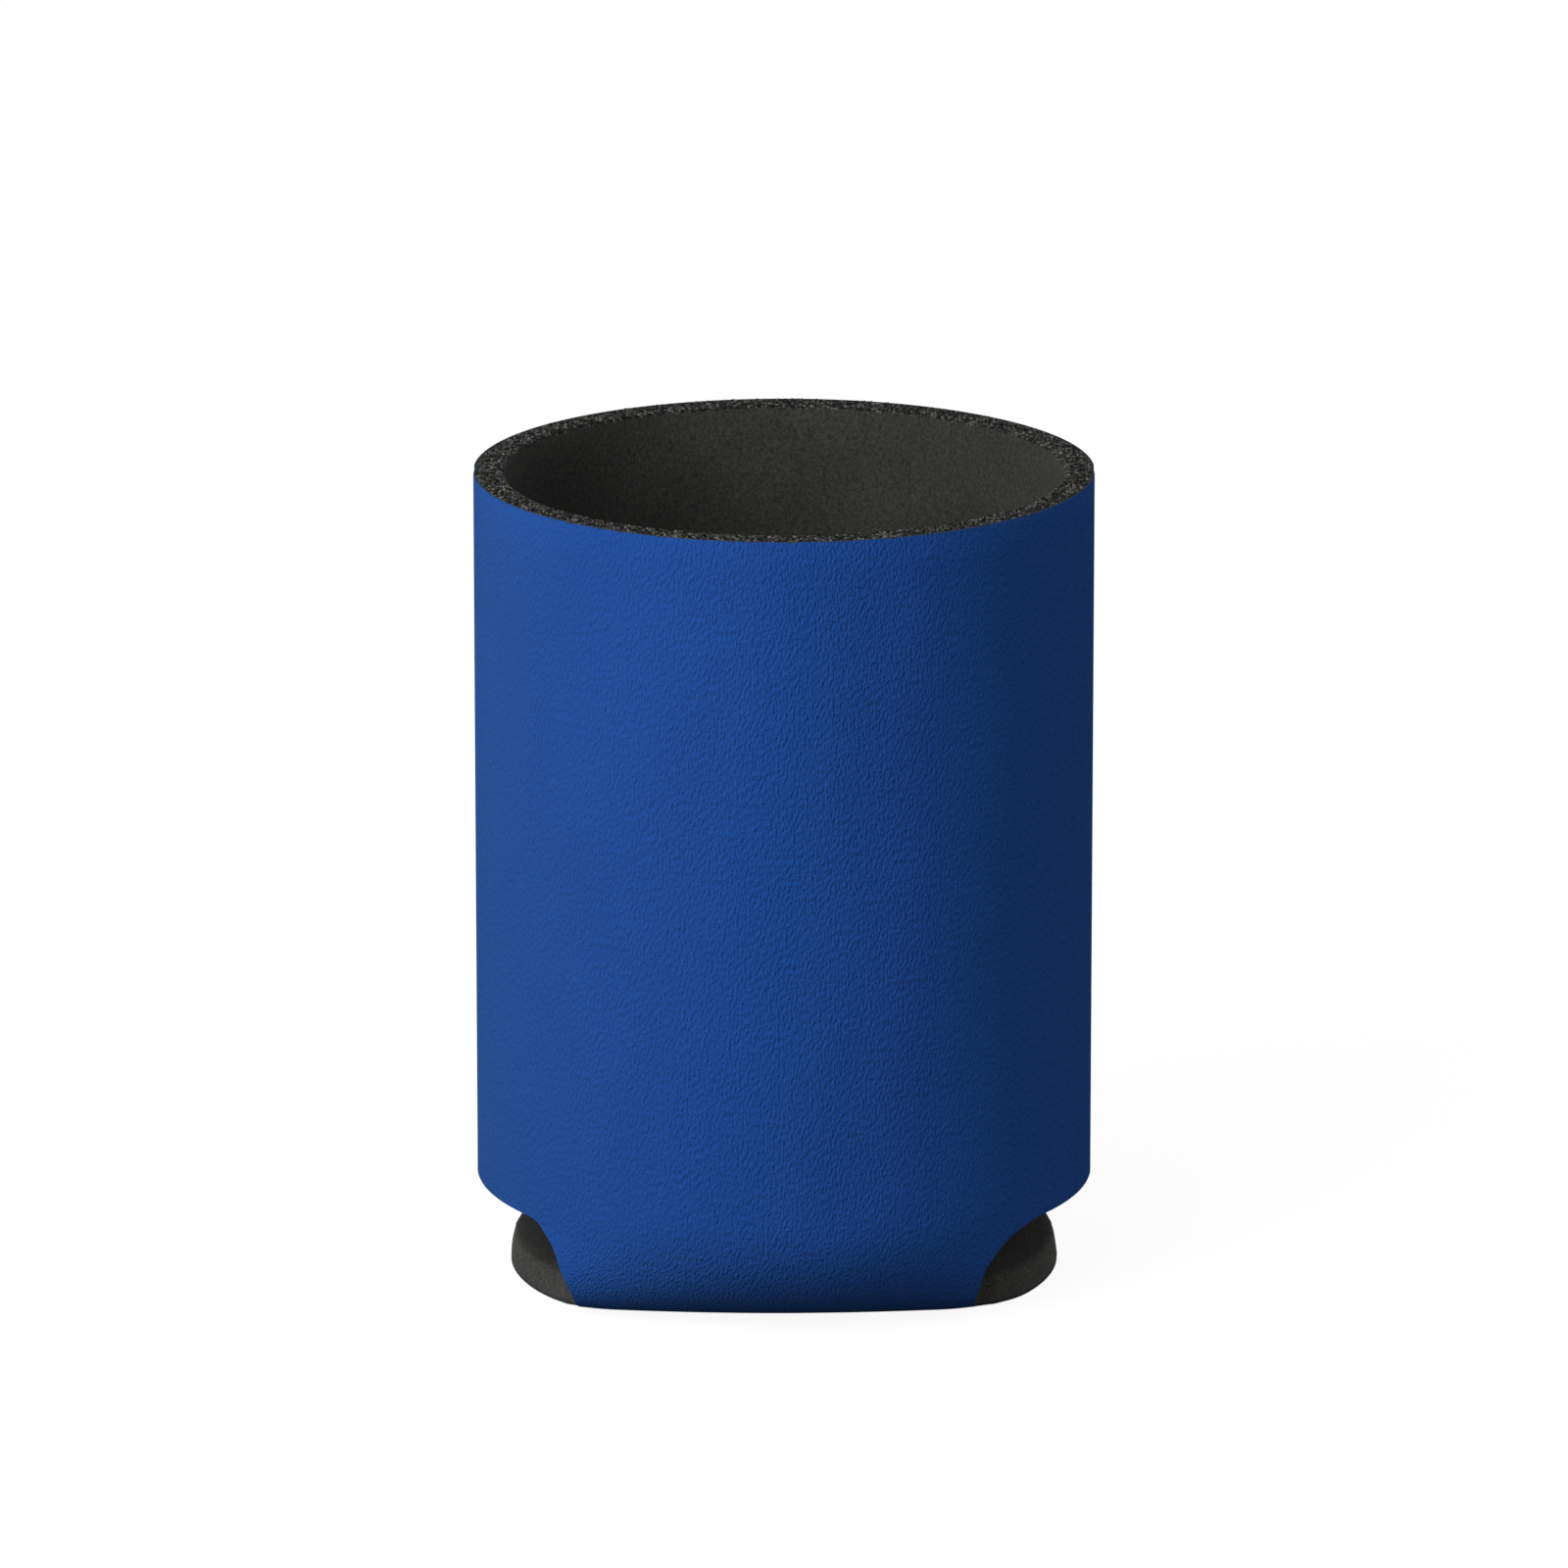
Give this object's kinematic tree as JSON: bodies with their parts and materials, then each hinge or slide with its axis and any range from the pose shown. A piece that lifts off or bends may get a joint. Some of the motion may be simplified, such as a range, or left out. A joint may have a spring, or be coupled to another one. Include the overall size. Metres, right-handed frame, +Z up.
{
  "type": "can cooler sleeve",
  "caption": "Fold-flat insulating sleeve of fabric-faced foam that slips over a drinks container, with an open top, a folded-under round floor and side notches.",
  "frame": {"origin": "centre of the underside, on the surface it stands on", "axes": "+Z up along the sleeve's axis to its open top, front panel facing -Y, the two side seams and notches at +X and -X"},
  "size_m": [0.0736, 0.0736, 0.0973],
  "materials": {
    "charcoal_foam": "matte open-cell foam with fine light and dark pores",
    "royal_blue_fabric": "fine brushed knit with a soft sheen and a faint upright grain"
  },
  "bodies": {
    "root": {"foam_body": "charcoal_foam", "fabric_facing": "royal_blue_fabric"}
  },
  "joints": []
}
